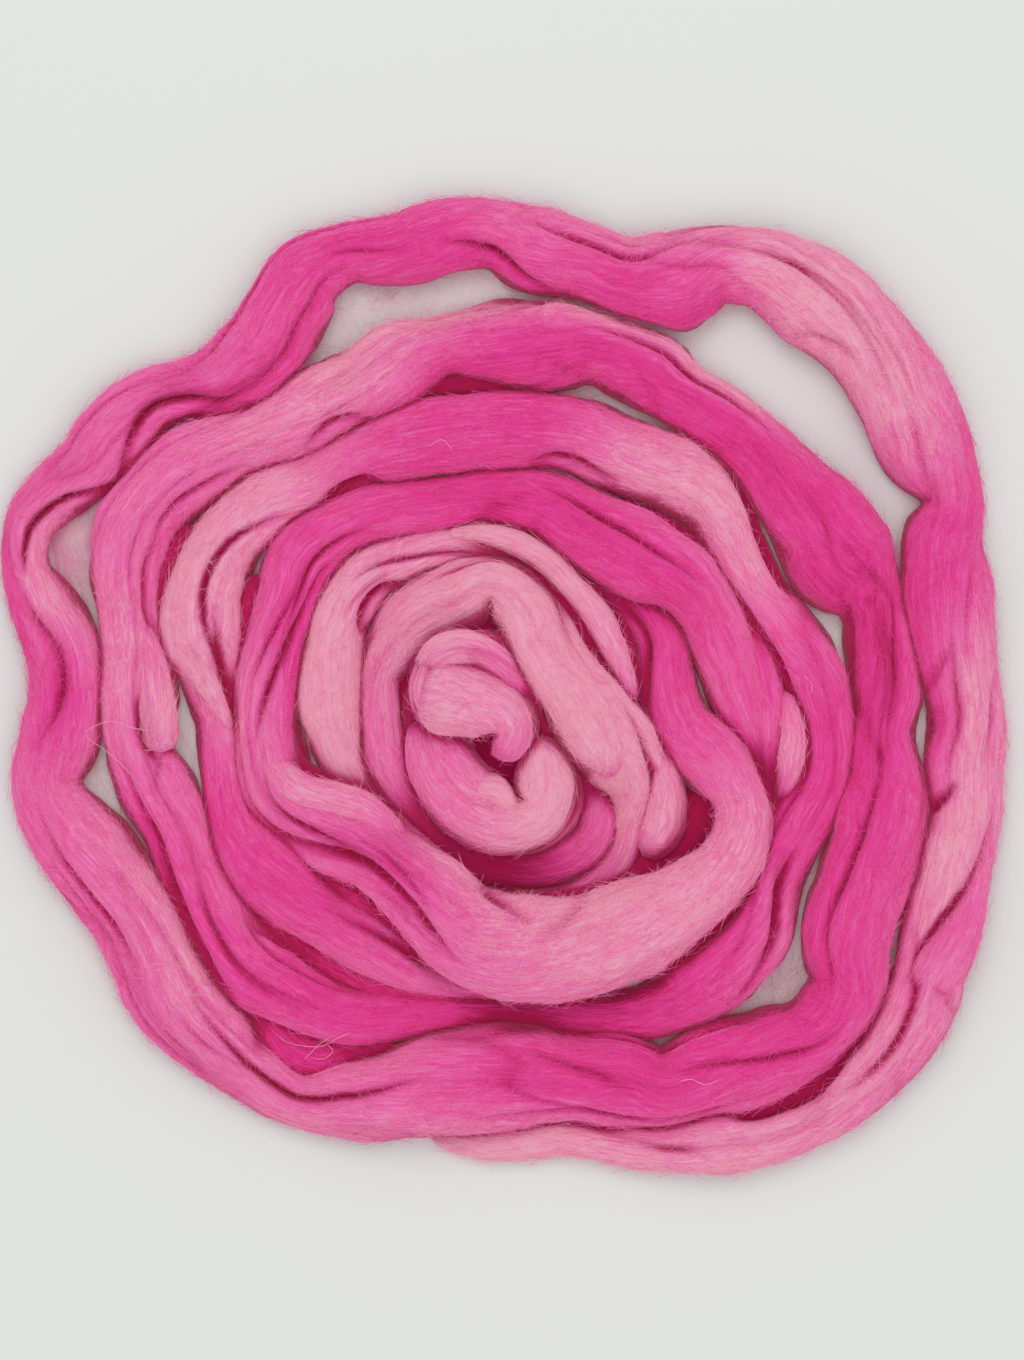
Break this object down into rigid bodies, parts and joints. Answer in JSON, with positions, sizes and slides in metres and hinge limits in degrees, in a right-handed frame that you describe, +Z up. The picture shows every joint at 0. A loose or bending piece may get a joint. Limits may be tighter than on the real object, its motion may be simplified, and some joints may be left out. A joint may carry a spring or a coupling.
{
  "type": "wool roving",
  "caption": "Loose flat spiral of hand-dyed combed wool, one soft pink strand coiled from a thin outer end to a curl at the heart.",
  "frame": {"origin": "on the surface it lies on, under the middle of the spiral", "axes": "+Z up out of the surface, +X along the spiral's longer side, the thin outer end on the -Y side"},
  "size_m": [0.4022, 0.3886, 0.0342],
  "materials": {
    "dyed_wool": "soft matte combed wool, hand-dyed from pale pink to deep pink"
  },
  "bodies": {
    "root": {"roving": "dyed_wool"}
  },
  "joints": []
}
